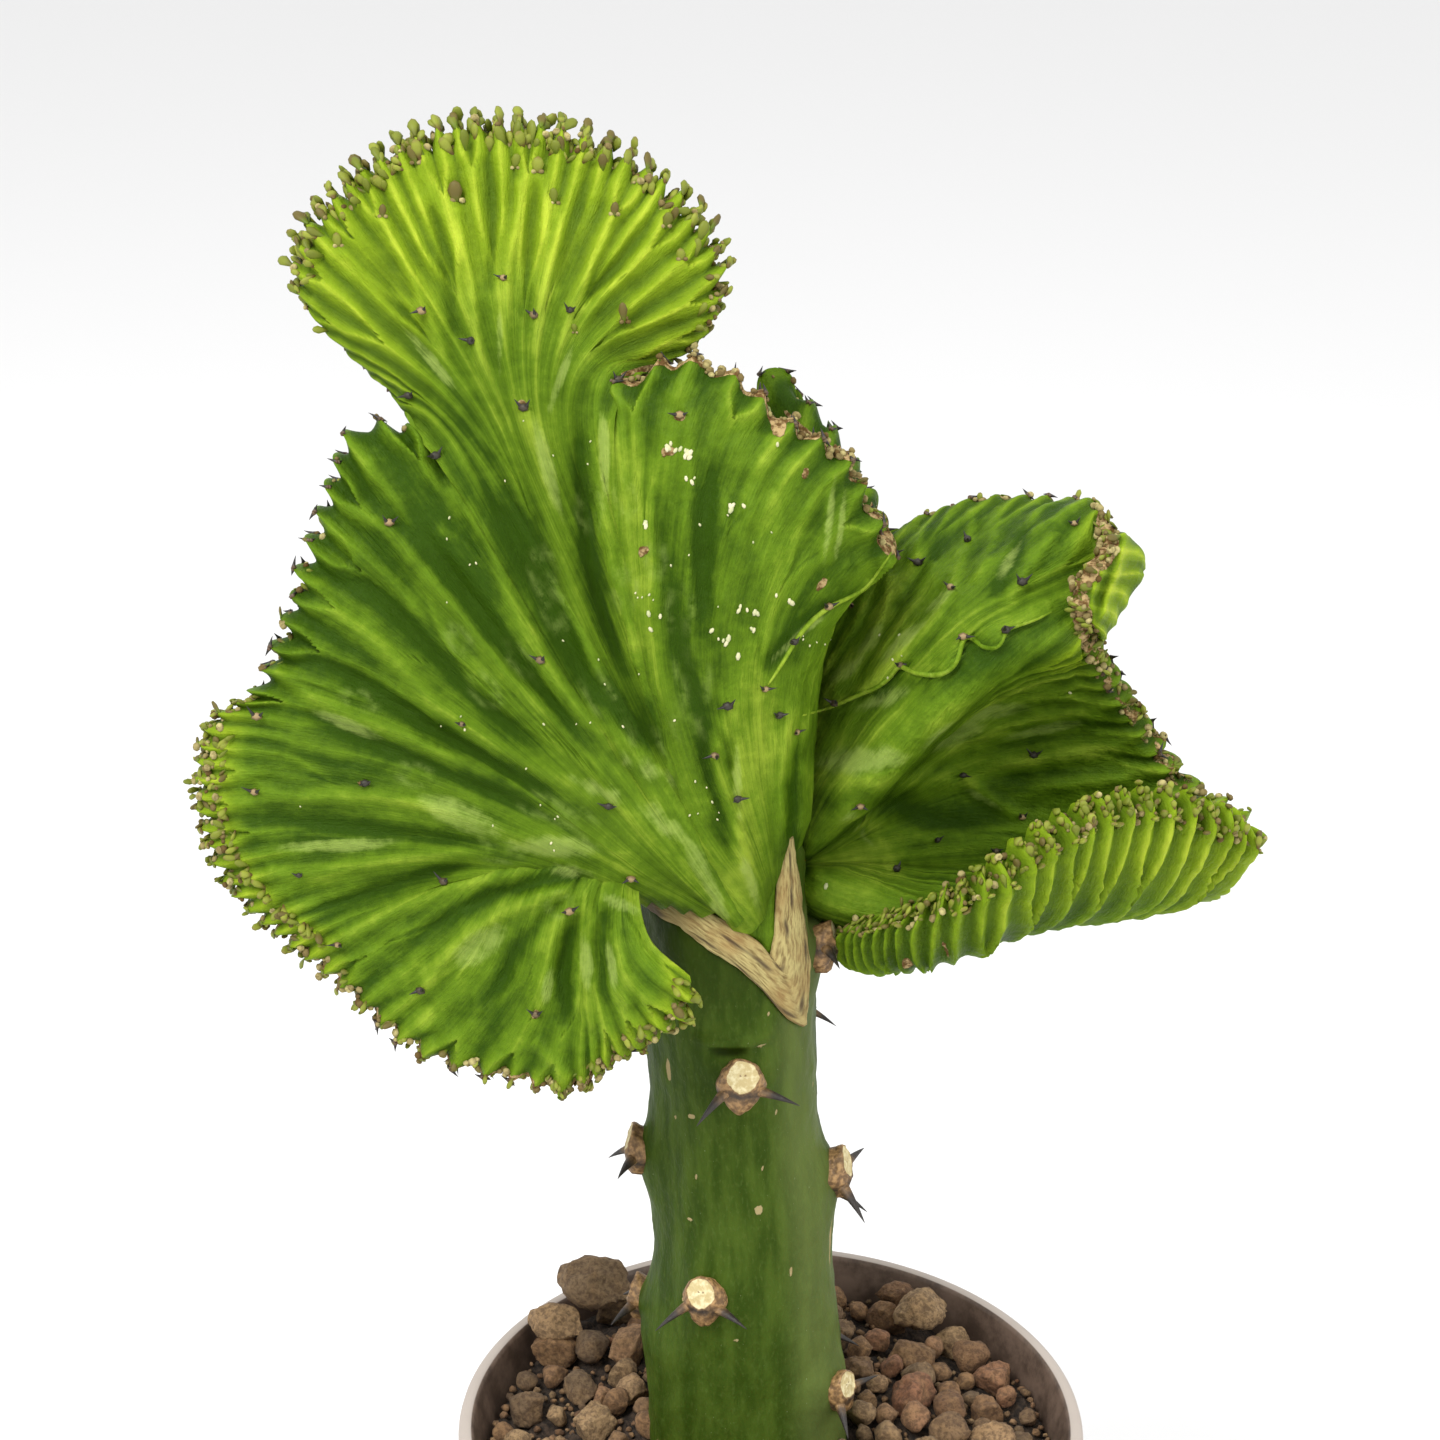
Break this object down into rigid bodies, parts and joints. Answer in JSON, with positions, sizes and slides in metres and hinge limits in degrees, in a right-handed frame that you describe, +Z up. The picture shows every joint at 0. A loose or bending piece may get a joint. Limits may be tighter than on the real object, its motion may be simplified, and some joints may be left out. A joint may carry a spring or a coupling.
{
  "type": "potted coral cactus",
  "caption": "Grafted coral cactus: a crested, pleated fan on an upright spiny rootstock, set in a round nursery pot of soil dressed with lava stones.",
  "frame": {"origin": "centre of the pot's flat base, on the surface that the pot stands on", "axes": "+Z up along the plant's stem, +X to the viewer's right in front view, -Y towards the viewer"},
  "size_m": [0.1727, 0.115, 0.3372],
  "materials": {
    "pot": "taupe nursery pot, matt moulded plastic",
    "soil": "dark potting soil with grit",
    "stone": "rough porous lava stone, brown to tan",
    "stem": "waxy blue-green succulent skin, satin",
    "callus": "dry corky graft callus, fibrous and matt",
    "spine": "horny brown pad and spines, satin",
    "crest": "waxy green crested stem with yellow-green margin, satin"
  },
  "bodies": {
    "root": {"pot": "pot", "soil": "soil", "rootstock": "stem", "graft_callus": "callus", "crest": "crest", "spine_pair_1": "spine", "spine_pair_2": "spine", "spine_pair_3": "spine", "spine_pair_4": "spine", "spine_pair_5": "spine", "spine_pair_6": "spine", "spine_pair_7": "spine", "spine_pair_8": "spine", "spine_pair_9": "spine", "spine_pair_10": "spine", "spine_pair_11": "spine", "spine_pair_12": "spine", "spine_pair_13": "spine", "spine_pair_14": "spine", "stone_1": "stone", "stone_2": "stone", "stone_3": "stone", "stone_4": "stone", "stone_5": "stone", "stone_6": "stone", "stone_7": "stone", "stone_8": "stone", "stone_9": "stone", "stone_10": "stone", "stone_11": "stone", "stone_12": "stone", "stone_13": "stone", "stone_14": "stone", "stone_15": "stone", "stone_16": "stone", "stone_17": "stone", "stone_18": "stone", "stone_19": "stone", "stone_20": "stone", "stone_21": "stone", "stone_22": "stone", "stone_23": "stone", "stone_24": "stone", "stone_25": "stone", "stone_26": "stone", "stone_27": "stone", "stone_28": "stone", "stone_29": "stone", "stone_30": "stone", "stone_31": "stone", "stone_32": "stone", "stone_33": "stone"}
  },
  "joints": []
}
